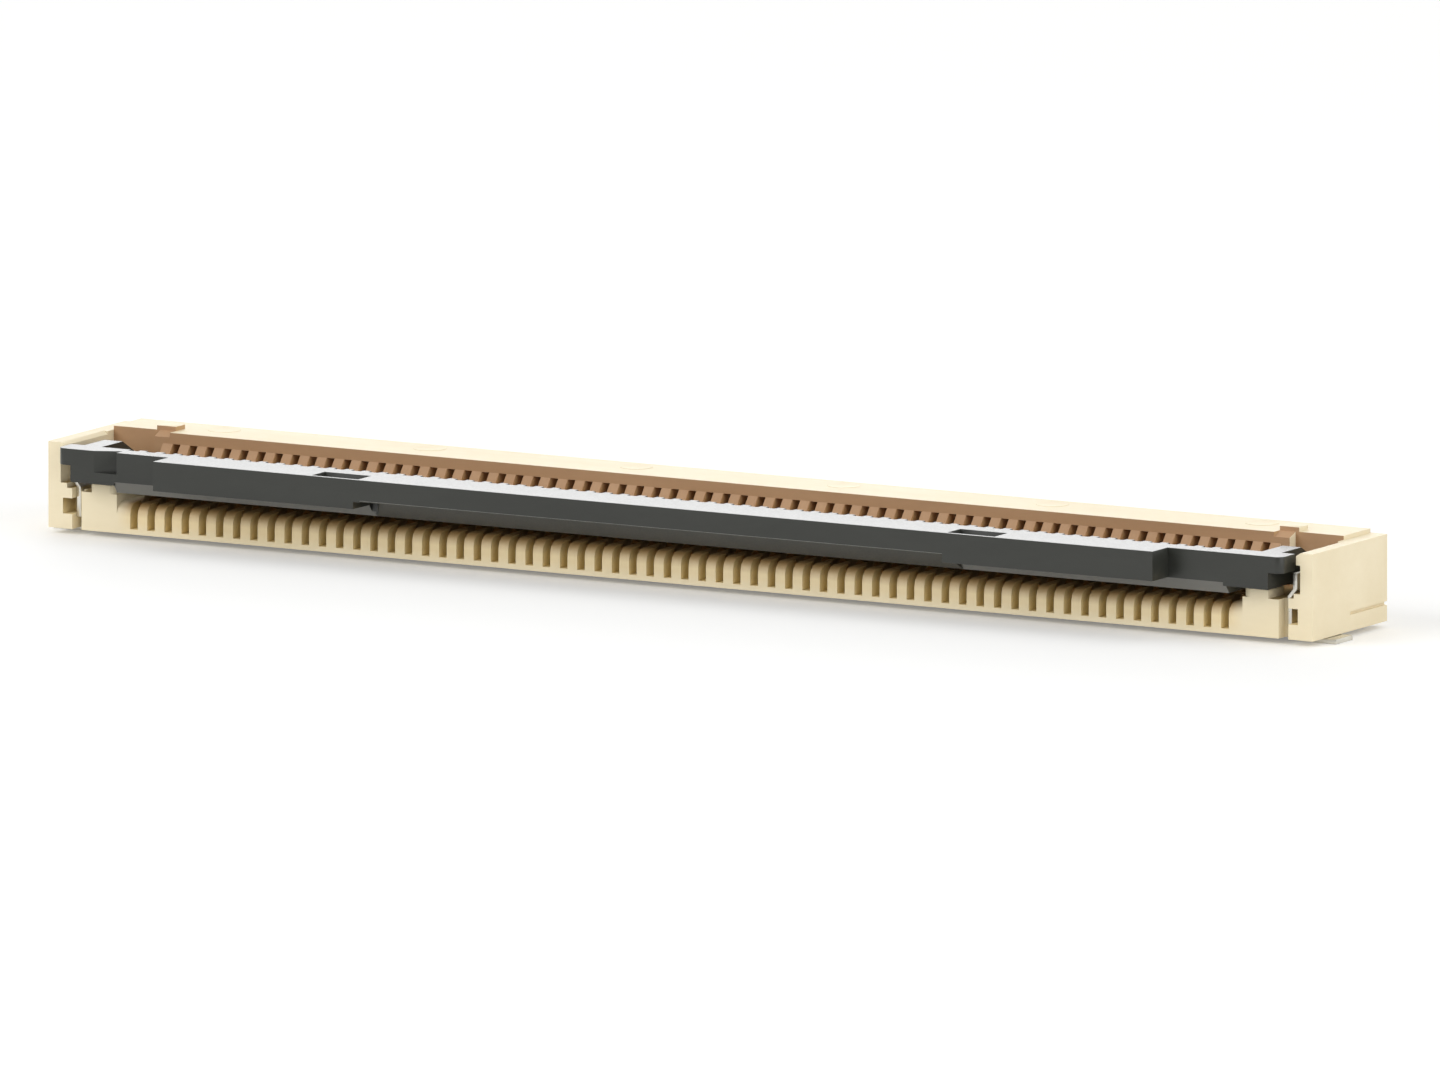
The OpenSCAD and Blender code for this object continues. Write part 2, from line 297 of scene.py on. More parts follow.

# %% [markdown]
# ## Finish: painted shade inside the slots
#
# Hardly any light finds its way into the 64 slots and the hollows at the ends, so their cream is
# painted a lighter amber for that shade, which the lamps' own shade then darkens. It is painted
# darker near the top, for the lever's shadow, where the fins' painted shadow begins, and it is
# painted brown behind the lever, like the painted shade of the wall around it.

# %% Painted slot shade
# painted shade: these amber tones stand in for the shade inside the slots and the end hollows
SLOT_SHADE_TONES = ((0.84, 0.68, 0.36), (0.92, 0.76, 0.42))
SLOT_TOP_SHADE_TONES = ((0.4, 0.28, 0.11), (0.46, 0.33, 0.14))
REAR_SHADE_TONES = ((0.52, 0.32, 0.15), (0.58, 0.37, 0.18))
SLOT_TOP_HEIGHT = (0.6 * MM, 0.9 * MM)
BEHIND_LEVER = (FRONT + 1.6 * MM, FRONT + 2.0 * MM)


def slot_shade_plastic():
    """Painted shade: light amber, darker with the height and brown to the rear."""
    material, shader = new_finish("cream with painted slot shade")
    low, top, rear = [streaks(material, t) for t in (SLOT_SHADE_TONES, SLOT_TOP_SHADE_TONES, REAR_SHADE_TONES)]
    shaded = spread(material, along(material, "Z"), 0, 1, *SLOT_TOP_HEIGHT)
    behind = spread(material, along(material, "Y"), 0, 1, *BEHIND_LEVER)
    colour = mixed(material, behind, mixed(material, shaded, low, top), rear)
    link(material, colour, shader.inputs["Base Color"])
    grained(material, shader, gloss=(0.55, 0.68))
    return material


PAINTED_SLOT_SHADE = slot_shade_plastic()
print("housing finishes:", CREAM.name, "/", PAINTED_WALL_SHADE.name, "/", PAINTED_SLOT_SHADE.name)

# %% [markdown]
# ## Finish: dark lever plastic
#
# The lever is a tougher, near-black plastic with a little shine, so its flat top mirrors the bright
# room at a low angle while its front stays charcoal. The lower front of the bar faces down to the
# white floor, and the light that the floor throws up on it is painted in, so that strip gets its
# own, paler version. The slope under the middle of the lip is textured for the fingernail, so it is
# the same charcoal with much less shine. A fourth version is a painted highlight, pale, for the
# edge of the crease under the lip. One material with painted masks could hold all four, but faces
# are simpler to pick than masks are to paint.

# %% Charcoal plastic and its three relatives
CHARCOAL_TONES = ((0.018, 0.0195, 0.015), (0.029, 0.0305, 0.025))
# painted light: the paler charcoal stands in for the floor's light on the strip low on the bar
FLOOR_LIGHT_TONES = ((0.125, 0.124, 0.112), (0.16, 0.158, 0.144))
DULL_TONES = ((0.03, 0.0315, 0.028), (0.04, 0.0415, 0.037))
# painted highlight: pale tones for the highlight along the edge of the crease under the lip
CREASE_HIGHLIGHT_TONES = ((0.26, 0.26, 0.24), (0.34, 0.34, 0.31))
CHARCOAL = moulded("charcoal moulded plastic", CHARCOAL_TONES, gloss=(0.3, 0.36))
PAINTED_FLOOR_LIGHT = moulded("charcoal with painted floor light", FLOOR_LIGHT_TONES, gloss=(0.4, 0.5))
DULL = moulded("dull charcoal plastic", DULL_TONES, gloss=(0.6, 0.7))
PAINTED_CREASE_HIGHLIGHT = moulded("charcoal with painted crease highlight", CREASE_HIGHLIGHT_TONES, gloss=(0.45, 0.55))
print("lever finishes:", [finish.name for finish in (CHARCOAL, PAINTED_FLOOR_LIGHT, DULL, PAINTED_CREASE_HIGHLIGHT)])

# %% [markdown]
# ## Finish: plated contacts
#
# Each contact is stamped from springy bronze strip. The sprung end that touches the cable carries a
# thin gold plating, and the tail that is soldered to the board is tinned. One material covers both:
# the distance from front to rear fades gold into tin just behind the housing. A noise that is
# stretched along the strip gives the fine rolling marks.

# %% Gold that fades to tin
GOLD_TONES = ((0.62, 0.42, 0.22), (0.72, 0.51, 0.29))
TAIL_TONES = ((0.6, 0.6, 0.58), (0.74, 0.74, 0.71))
GOLD_END = (FRONT + 2.9 * MM, FRONT + 3.4 * MM)
ROLLED_RELIEF = 0.3


def rolled_metal(material, shader, marks, gloss, groove):
    """Bare metal with the fine marks of the rolling mill."""
    shader.inputs["Metallic"].default_value = 1.0
    link(material, spread(material, marks, *gloss), shader.inputs["Roughness"])
    bump(material, shader, marks, groove, ROLLED_RELIEF)


def plated_contact():
    """Gold in front and tin behind, both a little cloudy."""
    material, shader = new_finish("gold and tin plating")
    cloud = noise(material, per_mm=1.3)
    gold, tin = ramp(material, cloud, GOLD_TONES), ramp(material, cloud, TAIL_TONES)
    rear = spread(material, along(material, "Y"), 0, 1, *GOLD_END)
    link(material, mixed(material, rear, gold, tin), shader.inputs["Base Color"])
    marks = noise(material, per_mm=6, detail=2.0, stretch=(1, 0.15, 3))
    rolled_metal(material, shader, marks, gloss=(0.28, 0.44), groove=0.002 * MM)
    return material


PLATED = plated_contact()
print("contact finish:", PLATED.name)

# %% [markdown]
# ## Finish: tinned hold-downs
#
# The two hold-downs are bent from thin sheet and tinned, so that they solder well. Tin is pale and
# soft-looking, with cloudy patches where the bath has drained, so a slow noise tints it. The sheet
# has rolling marks too, and they are made like those of the contacts.

# %% Cloudy tin
SHEET_TONES = ((0.63, 0.61, 0.55), (0.77, 0.75, 0.68))


def tinned_sheet():
    """Pale, cloudy tin."""
    material, shader = new_finish("tinned sheet metal")
    cloud = noise(material, per_mm=2.2)
    link(material, ramp(material, cloud, SHEET_TONES), shader.inputs["Base Color"])
    marks = noise(material, per_mm=5, detail=2.0, stretch=(1, 0.2, 1))
    rolled_metal(material, shader, marks, gloss=(0.26, 0.44), groove=0.003 * MM)
    return material


TINNED = tinned_sheet()
print("hold-down finish:", TINNED.name)

# %% [markdown]
# ## Copies that may be worked on
#
# The CAD solids stay as they are, for collision. Each one is copied, and its loose triangles are
# welded and merged back into flat faces, which is how a modeller would want to receive it. The copy
# also drops the normals that came with the triangles, because it gets new edges and new shading.
# Blender's operators act on whatever is selected, so each step first clears the selection and then
# makes one object active.

# %% Copy and weld the solids
WELD = 0.0005 * MM
SAME_PLANE = math.radians(0.5)
FINISHES = {
    "housing": [CREAM, PAINTED_WALL_SHADE, PAINTED_SLOT_SHADE],
    "actuator": [CHARCOAL, PAINTED_FLOOR_LIGHT, DULL, PAINTED_CREASE_HIGHLIGHT],
    "contact": [PLATED],
    "hold_down": [TINNED],
}


def only(obj):
    """Make one object the selected and active one."""
    bpy.ops.object.select_all(action="DESELECT")
    obj.select_set(True)
    bpy.context.view_layer.objects.active = obj


def welded_copy(node, finishes):
    """Copy a solid, join its triangles and give it its finishes, of which the first shows."""
    piece = bpy.data.objects.new(node + "_piece", frame["nodes"][node].data.copy())
    bpy.context.scene.collection.objects.link(piece)
    piece.data.materials.clear()
    for finish in finishes:
        piece.data.materials.append(finish)
    only(piece)
    bpy.ops.object.mode_set(mode="EDIT")
    bpy.ops.mesh.select_all(action="SELECT")
    bpy.ops.mesh.remove_doubles(threshold=WELD)
    bpy.ops.mesh.dissolve_limited(angle_limit=SAME_PLANE)
    bpy.ops.object.mode_set(mode="OBJECT")
    bpy.ops.mesh.customdata_custom_splitnormals_clear()
    for face in piece.data.polygons:
        face.material_index = 0
    return piece


pieces = {}
slots = {row["node"]: row["material_slot"] for row in frame["record"]["subparts"]}
for node, slot in slots.items():
    piece = welded_copy(node, FINISHES[slot])
    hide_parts(node)
    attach(piece, "lever" if node == "actuator" else "base")
    pieces[node] = piece
housing, lever = pieces["housing"], pieces["actuator"]
print("copies:", len(pieces), "faces:", sum(len(p.data.polygons) for p in pieces.values()))

# %% [markdown]
# ## Ends of the finger slope
#
# The slope under the lip runs out flush at the right. At the left it ends in a small relief, which
# a slanted core pin leaves when the mould opens downwards. The solid only has a plain square notch
# at each end, so the lever's copy is mended. First both notches are closed: their walls are
# deleted, and the two open sides are filled again. Then a tapered block cuts the relief with a
# Boolean modifier, which is surer than moving the lever's own points about.

# %% Pick by place and direction
def pick_faces(obj, wanted):
    """In edit mode, select only the faces for which wanted(centre, normal) is true."""
    bpy.ops.mesh.select_mode(type="FACE")
    bpy.ops.mesh.select_all(action="DESELECT")
    bpy.ops.object.mode_set(mode="OBJECT")
    for face in obj.data.polygons:
        face.select = wanted(face.center, face.normal)
    bpy.ops.object.mode_set(mode="EDIT")


def pick_points(obj, wanted):
    """In edit mode, select only the points for which wanted(place) is true."""
    bpy.ops.mesh.select_mode(type="VERT")
    bpy.ops.mesh.select_all(action="DESELECT")
    bpy.ops.object.mode_set(mode="OBJECT")
    for point in obj.data.vertices:
        point.select = wanted(point.co)
    bpy.ops.object.mode_set(mode="EDIT")


print("lever faces as welded:", len(lever.data.polygons))

# %% Close the square notches
NOTCH = {"out": (8.44, 8.68), "back": (-1.32, -0.95), "up": (1.53, 1.7)}
NOTCH_FRONT = {**NOTCH, "back": (-1.32, -1.3)}
NOTCH_BOTTOM = {**NOTCH, "up": (1.53, 1.55)}
only(lever)
bpy.ops.object.mode_set(mode="EDIT")
pick_faces(lever, lambda place, normal: inside(place, **NOTCH))
bpy.ops.mesh.delete(type="FACE")
for side in (-1, 1):
    for rim in (NOTCH_FRONT, NOTCH_BOTTOM):
        pick_points(lever, lambda place: place.x * side > 0 and inside(place, **rim))
        bpy.ops.mesh.edge_face_add()
bpy.ops.mesh.select_all(action="SELECT")
bpy.ops.mesh.normals_make_consistent(inside=False)
bpy.ops.mesh.dissolve_limited(angle_limit=SAME_PLANE)
bpy.ops.object.mode_set(mode="OBJECT")
print("lever faces with its notches closed:", len(lever.data.polygons))

# %% Shape the core pin
RELIEF_LOW = Vector((-8.6 * MM, FRONT - 1.45 * MM, 1.1 * MM))
RELIEF_HIGH = Vector((-7.7 * MM, FRONT - 0.42 * MM, 1.72 * MM))
RELIEF_REAR = (-0.5, 0)
TAPER = (0.18, 1, 1)
TAPER_CENTRE = (-8.55 * MM, 0, 0)
bpy.ops.object.select_all(action="DESELECT")
bpy.ops.mesh.primitive_cube_add(
    size=1, location=(RELIEF_LOW + RELIEF_HIGH) / 2, scale=RELIEF_HIGH - RELIEF_LOW
)
core_pin = bpy.context.object
bpy.ops.object.transform_apply(location=True, rotation=True, scale=True)
bpy.ops.object.mode_set(mode="EDIT")
pick_points(core_pin, lambda place: inside(place, back=RELIEF_REAR))
bpy.ops.transform.resize(value=TAPER, center_override=TAPER_CENTRE)
bpy.ops.object.mode_set(mode="OBJECT")
print("core pin size in mm:", [round(v / MM, 2) for v in core_pin.dimensions])

# %% Cut the relief at the left
def apply_all(obj):
    """Apply every modifier of a piece, from first to last, and leave it active."""
    only(obj)
    for name in [m.name for m in obj.modifiers]:
        bpy.ops.object.modifier_apply(modifier=name)


relief = lever.modifiers.new("relief", "BOOLEAN")
relief.operation = "DIFFERENCE"
relief.solver = "EXACT"
relief.object = core_pin
apply_all(lever)
bpy.data.objects.remove(core_pin)
print("lever faces with its relief:", len(lever.data.polygons))

# %% [markdown]
# ## Where the painted shade, the painted light and the other finishes go
#
# A face gets its finish by its place and by the way it points, as one would pick it by eye. On the
# housing these are painted shade: on the wall behind the lever, inside the 64 slots, and in the
# hollows at the ends. On the lever they are the strip low on the bar, painted paler for the light
# that the floor throws up on it, and the dull slope under the lip. This comes before the edges are
# rounded, so that each new edge strip takes the finish of the faces beside it.

# %% Painted shade on the housing
SQUARE_ON = 0.9
LEANING = 0.3
WALL = {"out": (-FAR, 17.65), "back": (1.8, 2.5), "up": (1.0, FAR)}
SLOT_ROW = (-FAR, 15.95)
SLOT_FLOOR_MAX = 0.4 * MM
SLOT_ROOF_MIN = 2.0 * MM
BEARING = {"out": (17.78, 17.88), "back": (0.02, 1.8), "up": (1.25, 2.1)}
END_FLOOR = {"out": (16.2, 17.8), "back": (-FAR, 2.1), "up": (1.1, 1.32)}
POCKET = {"out": (17.6, 17.86), "back": (0.02, 0.65), "up": (0.5, 0.96)}


def give_finish(piece, finish, wanted):
    """Give a finish to the faces for which wanted(centre, normal) is true, and count them."""
    faces = [face for face in piece.data.polygons if wanted(face.center, face.normal)]
    for face in faces:
        face.material_index = piece.data.materials.find(finish.name)
    return len(faces)


def in_wall(place, normal):
    """On the wall behind the lever."""
    return normal.y < -LEANING and inside(place, **WALL)


def in_slot(place, normal):
    """On the sides, the floor or the roof of a slot."""
    sideways = abs(normal.x) > SQUARE_ON
    floor = normal.z > SQUARE_ON and place.z < SLOT_FLOOR_MAX
    roof = normal.z < -SQUARE_ON and place.z > SLOT_ROOF_MIN
    return (sideways or floor or roof) and inside(place, out=SLOT_ROW)


def in_end_hollow(place, normal):
    """In the bearing grooves, on the floors under the lever, or in the hold-downs' pockets."""
    floor = normal.z > SQUARE_ON and inside(place, **END_FLOOR)
    return floor or inside(place, **BEARING) or inside(place, **POCKET)


# painted shade: the wall, the slots and the end hollows take amber tones that stand in for shadow
print("wall faces:", give_finish(housing, PAINTED_WALL_SHADE, in_wall))
print("slot faces:", give_finish(housing, PAINTED_SLOT_SHADE, in_slot))
print("end hollow faces:", give_finish(housing, PAINTED_SLOT_SHADE, in_end_hollow))

# %% Finishes of the lever
FLOOR_LIT_STRIP = {"back": (-0.6, 0), "up": (-FAR, 1.7)}
LIP_SLOPE = {"out": (-FAR, 8.5), "back": (-FAR, 0)}


def faces_cable(normal):
    """Looking forward and down."""
    return normal.z < -LEANING and normal.y < -LEANING


def on_strip(place, normal):
    """On the lower front of the bar."""
    return faces_cable(normal) and inside(place, **FLOOR_LIT_STRIP)


def under_lip(place, normal):
    """On the slope under the middle of the lip."""
    return faces_cable(normal) and inside(place, **LIP_SLOPE)


# painted light: the strip low on the bar is painted paler for the light the floor throws up on it
print("painted floor light faces:", give_finish(lever, PAINTED_FLOOR_LIGHT, on_strip))
print("lip slope faces:", give_finish(lever, DULL, under_lip))

# %% [markdown]
# ## Softened edges
#
# A CAD solid has knife-sharp edges, and no real edge is like that: a mould leaves a radius of a few
# hundredths of a millimetre, and a stamped edge rolls over a little. Those tiny radii catch the
# light, so they decide whether a close view looks real. A bevel in the shader would be only a trick
# of the light. Here every sharp edge gets a bevel weight and a Bevel modifier cuts it. The fronts
# of the comb, where the cable rides in, are rounded more than the rest, so they weigh more. The 64
# rear openings weigh nothing: they are cut clean where the mould's halves meet, and their face is
# one wide outline with many holes, which a bevel would tear.

# %% How much each edge is rounded
COMB_FRONT = {"out": (-FAR, 16.05), "back": (-FAR, 0.32), "up": (0.35, 1.0)}
REAR_OPENINGS = {"out": (-FAR, 16.05), "back": (3.7, FAR), "up": (0.2, 2.3)}
FULL_RADIUS = 1.0
SLIGHT_RADIUS = 0.45
NO_RADIUS = 0.0


def everywhere(place):
    """The same full radius on every edge."""
    return FULL_RADIUS


def more_on_comb(place):
    """Full on the comb's front, none at the rear openings, and slight elsewhere."""
    if inside(place, **REAR_OPENINGS):
        return NO_RADIUS
    return FULL_RADIUS if inside(place, **COMB_FRONT) else SLIGHT_RADIUS


SOFTEN = {
    "housing": {"radius": 0.055 * MM, "smooth_limit": 32, "weight_of": more_on_comb},
    "actuator": {"radius": 0.03 * MM, "smooth_limit": 24, "weight_of": everywhere},
    "hold_down": {"radius": 0.02 * MM, "smooth_limit": 24, "weight_of": everywhere},
    "contact": {"radius": 0.02 * MM, "smooth_limit": 24, "weight_of": everywhere},
}
print("radii in mm:", {slot: round(row["radius"] / MM, 3) for slot, row in SOFTEN.items()})

# %% Round the sharp edges
SHARP = math.radians(50)
SEGMENTS = 2


def softened(piece, radius, smooth_limit, weight_of):
    """Weigh the sharp edges, bevel them and shade the result smooth."""
    only(piece)
    bpy.ops.object.mode_set(mode="EDIT")
    bpy.ops.mesh.select_mode(type="EDGE")
    bpy.ops.mesh.select_all(action="DESELECT")
    bpy.ops.mesh.edges_select_sharp(sharpness=SHARP)
    bpy.ops.object.mode_set(mode="OBJECT")
    mesh = piece.data
    weights = mesh.attributes.new("bevel_weight_edge", "FLOAT", "EDGE")
    for edge in mesh.edges:
        if edge.select:
            a, b = (mesh.vertices[v].co for v in edge.vertices)
            weights.data[edge.index].value = weight_of((a + b) / 2)
    bevel = piece.modifiers.new("edge radius", "BEVEL")
    bevel.width = radius
    bevel.segments = SEGMENTS
    bevel.limit_method = "WEIGHT"
    bevel.use_clamp_overlap = True
    bevel.miter_outer = "MITER_ARC"
    apply_all(piece)
    bpy.ops.object.shade_smooth_by_angle(angle=math.radians(smooth_limit))
    weighted = piece.modifiers.new("flat faces stay flat", "WEIGHTED_NORMAL")
    weighted.keep_sharp = True
    apply_all(piece)


def triangles(obj):
    """Count the triangles of a piece."""
    obj.data.calc_loop_triangles()
    return len(obj.data.loop_triangles)


for node, piece in pieces.items():
    softened(piece, **SOFTEN[slots[node]])
print("softened, triangles:", sum(triangles(p) for p in pieces.values()))

# %% [markdown]
# ## A painted highlight on the crease
#
# The edge of the crease under the lip shows a thin pale highlight, and it is painted in. The bevel
# has just put a narrow strip there, so the strip only needs the pale finish. Picking it by its tilt
# is simpler than painting.

# %% Paint a highlight on the crease
CREASE = {"out": (-FAR, 8.45), "up": (1.7, 1.79)}
CREASE_TILT = (-0.75, -0.1)


def on_crease(place, normal):
    """On the narrow strip between the lip's front and the slope."""
    tilted = CREASE_TILT[0] < normal.z < CREASE_TILT[1] and normal.y < -LEANING
    return tilted and inside(place, **CREASE)


print("crease faces:", give_finish(lever, PAINTED_CREASE_HIGHLIGHT, on_crease))

# %% [markdown]
# ## Gate stubs
#
# The lever's plastic enters its mould through two gates. Each gate lies in a pocket of the top, so
# that the stub left by the broken-off runner never stands proud of the lever. A stub could be a
# dent in the bump, but a close view shows its torn edge. So it is a small block on the pocket's
# floor, whose top is inset and drawn up, with one side pulled higher where it tore. It is modelled
# once and copied to the other pocket.

# %% Helpers for small pieces
ROUNDED_LIMIT = math.radians(30)
SMALL_SMOOTH = math.radians(35)


def settle(obj, body, finish):
    """Put a piece's place into its mesh, give it its finish and fix it to a body."""
    only(obj)
    bpy.ops.object.transform_apply(location=True, rotation=True, scale=True)
    obj.data.materials.clear()
    obj.data.materials.append(finish)
    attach(obj, body)


def rounded(obj, radius):
    """Bevel the sharp edges of a small piece and shade it smooth."""
    bevel = obj.modifiers.new("edge radius", "BEVEL")
    bevel.width = radius
    bevel.segments = SEGMENTS
    bevel.limit_method = "ANGLE"
    bevel.angle_limit = ROUNDED_LIMIT
    apply_all(obj)
    bpy.ops.object.shade_smooth_by_angle(angle=SMALL_SMOOTH)


def copy_of(obj, name, shift):
    """Copy a finished piece, mesh and all, and shift the copy, which is then settled."""
    twin = obj.copy()
    twin.data = obj.data.copy()
    twin.name = name
    bpy.context.scene.collection.objects.link(twin)
    twin.location = shift
    return twin


print("pieces so far:", len(pieces))

# %% A torn stub in each pocket
TORN_TONES = ((0.07, 0.07, 0.065), (0.12, 0.12, 0.11))
TORN = moulded("torn charcoal plastic", TORN_TONES, gloss=(0.62, 0.78))
GATE_X = 9.175 * MM
GATE = Vector((GATE_X, FRONT - 0.885 * MM, 2.09 * MM))
STUB_SIZE = (0.62 * MM, 0.34 * MM, 0.05 * MM)
STUB_STEP = 0.06 * MM
STUB_RISE = (0, 0, 0.05 * MM)
STUB_TAPER = (0.8, 0.7, 1)
STUB_TOP = GATE.z + 0.06 * MM
TEAR = (0.02 * MM, 0, 0.035 * MM)
bpy.ops.object.select_all(action="DESELECT")
bpy.ops.mesh.primitive_cube_add(size=1, location=GATE, scale=STUB_SIZE)
stub = bpy.context.object
stub.name = "gate_stub_right"
bpy.ops.object.transform_apply(location=True, rotation=True, scale=True)
bpy.ops.object.mode_set(mode="EDIT")
pick_faces(stub, lambda place, normal: normal.z > SQUARE_ON)
bpy.ops.mesh.inset(thickness=STUB_STEP)
bpy.ops.mesh.extrude_region_move(TRANSFORM_OT_translate={"value": STUB_RISE})
bpy.ops.transform.resize(value=STUB_TAPER, center_override=GATE)
pick_points(stub, lambda place: place.z > STUB_TOP and place.x > GATE.x)
bpy.ops.transform.translate(value=TEAR)
bpy.ops.object.mode_set(mode="OBJECT")
rounded(stub, radius=0.012 * MM)
settle(stub, "lever", TORN)
settle(copy_of(stub, "gate_stub_left", (-2 * GATE_X, 0, 0)), "lever", TORN)
print("gate stubs of", triangles(stub), "triangles each")

# %% [markdown]
# ## Ejector-pin marks
#
# When the mould opens, round pins push the housing out. Each leaves a shallow dished disc with a
# hair-thin rim, here along the top of the rear block and on the underside. A mark is a flat
# cylinder whose outer face is inset, and the inner disc is then pushed in. One is modelled for each
# side, and the others are copies of it.

# %% One mark
MARK_RADIUS = 0.42 * MM
MARK_SIDES = 28
RIM_HEIGHT = 0.01 * MM
RIM_WIDTH = 0.04 * MM
RIM_RADIUS = 0.002 * MM
DISH = 0.7 * RIM_HEIGHT


def pin_mark(name, place, up):
    """A dished disc on a face that looks up (1) or down (-1)."""
    bpy.ops.object.select_all(action="DESELECT")
    bpy.ops.mesh.primitive_cylinder_add(
        vertices=MARK_SIDES, radius=MARK_RADIUS, depth=2 * RIM_HEIGHT, location=place
    )
    mark = bpy.context.object
    mark.name = name
    bpy.ops.object.transform_apply(location=True, rotation=True, scale=True)
    bpy.ops.object.mode_set(mode="EDIT")
    pick_faces(mark, lambda centre, normal: normal.z * up > SQUARE_ON)
    bpy.ops.mesh.inset(thickness=RIM_WIDTH)
    bpy.ops.transform.translate(value=(0, 0, -up * DISH))
    bpy.ops.object.mode_set(mode="OBJECT")
    rounded(mark, RIM_RADIUS)
    return mark


print("mark radius in mm:", round(MARK_RADIUS / MM, 2))

# %% Rows of marks on top and underneath
HOUSING_TOP = 2.44 * MM
HOUSING_BASE = 0.15 * MM
TOP_MARKS = [x * MM for x in (-15, -9, -3, 3, 9, 15)]
TOP_MARKS_Y = FRONT + 3.2 * MM
UNDER_MARKS = [x * MM for x in (-13, -6, 6, 13)]
UNDER_MARKS_Y = FRONT + 1.4 * MM


def row_of_marks(name, places, y, z, up):
    """Model the first mark of a row and copy it to the other places."""
    first = pin_mark(name + "_1", (places[0], y, z), up)
    settle(first, "base", CREAM)
    for number, x in enumerate(places[1:], 2):
        twin = copy_of(first, f"{name}_{number}", (x - places[0], 0, 0))
        settle(twin, "base", CREAM)
    return first


top_mark = row_of_marks("top_pin_mark", TOP_MARKS, TOP_MARKS_Y, HOUSING_TOP, 1)
row_of_marks("under_pin_mark", UNDER_MARKS, UNDER_MARKS_Y, HOUSING_BASE, -1)
print("pin marks of", triangles(top_mark), "triangles each")

# %% [markdown]
# ## Floor
#
# The part stands on white paper, which has to look fully white apart from the shadow. More lamp
# light would do it, but would also wash out the part. So the floor glows a little, and the glow is
# limited to what is seen of it: by the camera, in a mirroring face, or through a clear one. It adds
# no light to the plain surfaces of the part.

# %% White floor
FLOOR_SIZE = 3.0
PAPER_COLOUR = (0.9, 0.9, 0.89, 1)
PAPER_ROUGHNESS = 0.9
PAPER_GLOW = 0.19
WHITE = (1, 1, 1, 1)
bpy.ops.object.select_all(action="DESELECT")
bpy.ops.mesh.primitive_plane_add(size=FLOOR_SIZE)
floor = bpy.context.object
floor.name = "floor"
paper, paper_shader = new_finish("white paper floor")
paper_shader.inputs["Base Color"].default_value = PAPER_COLOUR
paper_shader.inputs["Roughness"].default_value = PAPER_ROUGHNESS
paper_shader.inputs["Emission Color"].default_value = WHITE
rays = paper.node_tree.nodes.new("ShaderNodeLightPath").outputs
seen = combined(paper, "MAXIMUM", rays["Is Camera Ray"], rays["Is Glossy Ray"])
seen = combined(paper, "MAXIMUM", seen, rays["Is Transmission Ray"])
glow = spread(paper, seen, 0, PAPER_GLOW, 0, 1)
link(paper, glow, paper_shader.inputs["Emission Strength"])
floor.data.materials.append(paper)
print("floor:", FLOOR_SIZE, "m")

# %% [markdown]
# ## Room and lamps
#
# The light is that of a small product photo: a large soft lamp above, three lower ones around the
# part, and the room itself, which is the world's background. The room lights the part evenly, but
# what a shiny face mirrors of it is dim in front and bright behind, so the lever's top shines while
# its front stays dark. A picture of a studio could be the world instead, but this way needs no
# file. The camera sees the room as plain white.

# %% Room light
ROOM_LIGHT = 0.42
MIRRORED_LIGHT = (0.4, 1.0)
MIRRORED_TURN = (-0.5, 0.3)
SEEN_LIGHT = 1.0


def steady(material, value):
    """A strength that is the same everywhere."""
    node = material.node_tree.nodes.new("ShaderNodeValue")
    node.outputs[0].default_value = value
    return node.outputs[0]


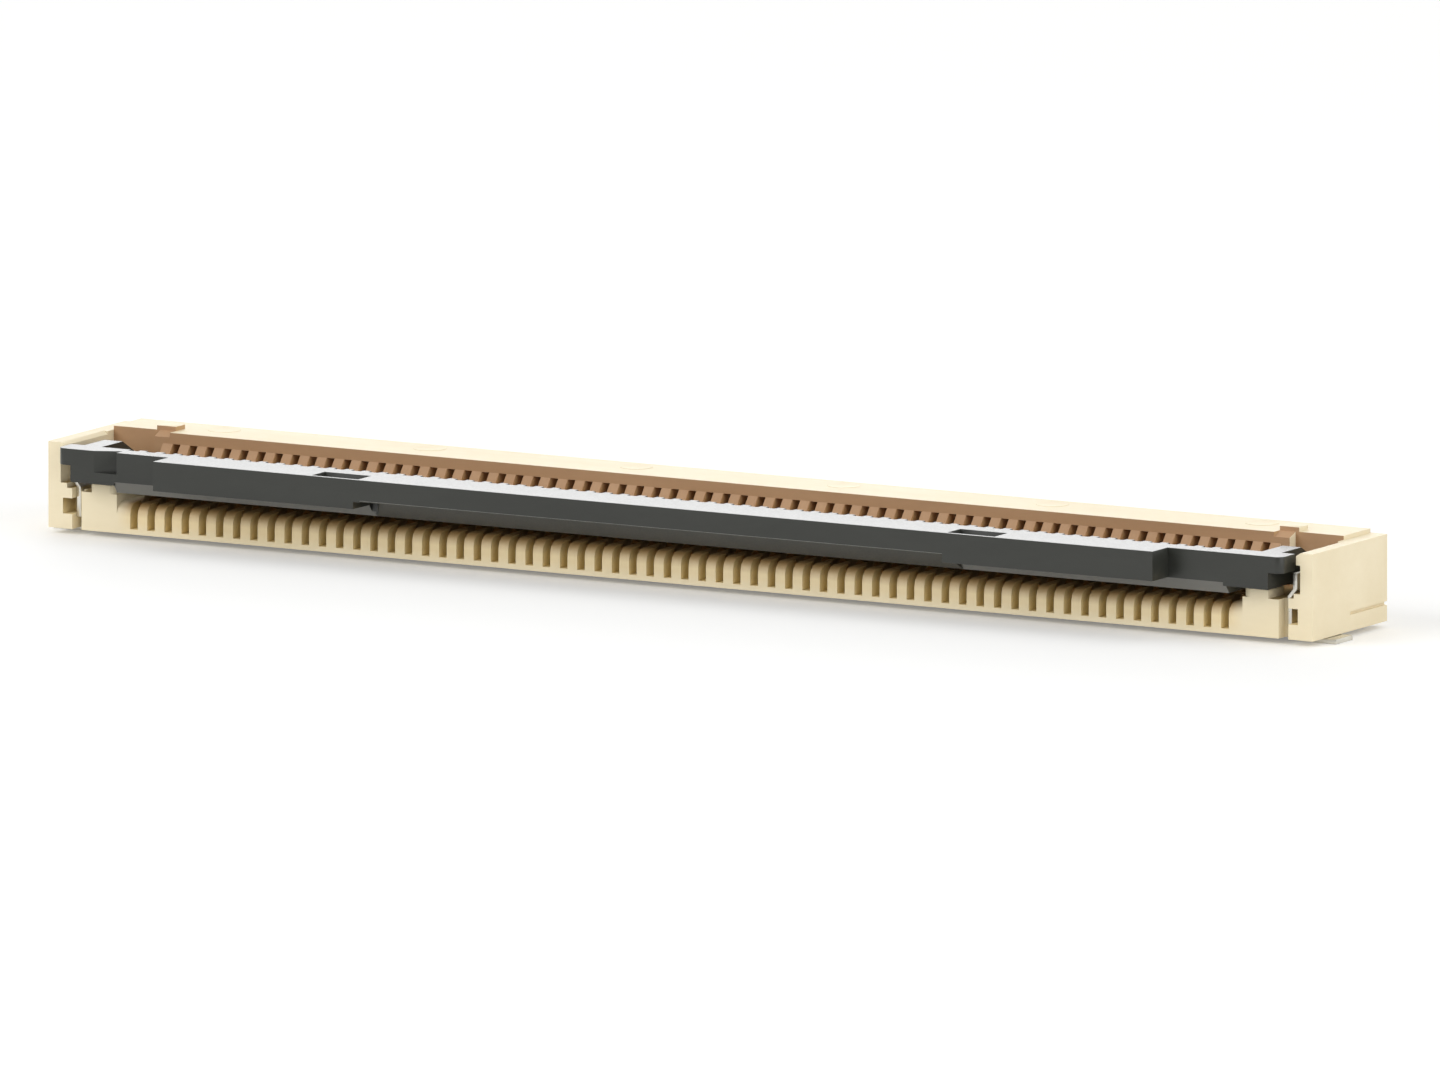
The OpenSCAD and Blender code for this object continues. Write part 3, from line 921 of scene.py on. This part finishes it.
scene = bpy.context.scene
world = bpy.data.worlds.new("white room")
scene.world = world
world.use_nodes = True
background = world.node_tree.nodes["Background"]
background.inputs["Color"].default_value = WHITE
heading = world.node_tree.nodes.new("ShaderNodeTexCoord")
parts = world.node_tree.nodes.new("ShaderNodeSeparateXYZ")
link(world, heading.outputs["Generated"], parts.inputs["Vector"])
rays = world.node_tree.nodes.new("ShaderNodeLightPath").outputs
mirrored = spread(world, parts.outputs["Y"], *MIRRORED_LIGHT, *MIRRORED_TURN)
room = mixed(world, rays["Is Glossy Ray"], steady(world, ROOM_LIGHT), mirrored, "FLOAT")
seen = combined(world, "MAXIMUM", rays["Is Camera Ray"], rays["Is Transmission Ray"])
strength = mixed(world, seen, room, steady(world, SEEN_LIGHT), "FLOAT")
link(world, strength, background.inputs["Strength"])
print("room light:", ROOM_LIGHT, "and mirrored:", MIRRORED_LIGHT)

# %% Lamps
def soft_lamp(name, place, size, power):
    """Add a square area lamp that looks at the part."""
    lamp = bpy.data.lights.new(name, "AREA")
    lamp.size = size
    lamp.energy = power
    obj = bpy.data.objects.new(name, lamp)
    scene.collection.objects.link(obj)
    obj.location = place
    obj.rotation_euler = (-Vector(place)).to_track_quat("-Z", "Y").to_euler()
    obj.visible_camera = False


soft_lamp("top lamp", place=(0.1, 0.1, 0.5), size=0.4, power=0.4)
soft_lamp("front lamp", place=(-0.25, -0.36, 0.25), size=0.35, power=1.25)
soft_lamp("right lamp", place=(0.45, -0.1, 0.2), size=0.45, power=1.0)
soft_lamp("rear lamp", place=(-0.3, 0.5, 0.12), size=0.3, power=0.7)
scene.view_settings.view_transform = "Standard"

# %% [markdown]
# ## Camera
#
# The photo was taken from far away with a long lens: 30 degrees round to the right and 9 degrees
# up. The distance was found from how little the slots shrink towards the far end of the row. A near
# camera with a short lens could frame the part as well, but would make its right end too large.

# %% Long lens from the right
AZIMUTH = math.radians(30)
ELEVATION = math.radians(9)
DISTANCE = 1270 * MM
LENS = 1268.5
SENSOR_WIDTH = 36
CLIP_START = 0.01
AIM = Vector((-0.06 * MM, 0.715 * MM, 0.94 * MM))
away = Vector((
    math.sin(AZIMUTH) * math.cos(ELEVATION),
    -math.cos(AZIMUTH) * math.cos(ELEVATION),
    math.sin(ELEVATION),
))
lens = bpy.data.cameras.new("studio camera")
lens.lens = LENS
lens.sensor_width = SENSOR_WIDTH
lens.clip_start = CLIP_START
camera = bpy.data.objects.new("studio camera", lens)
scene.collection.objects.link(camera)
camera.location = AIM + away * DISTANCE
camera.rotation_euler = (-away).to_track_quat("-Z", "Y").to_euler()
scene.camera = camera
print("camera at", [round(v, 3) for v in camera.location])
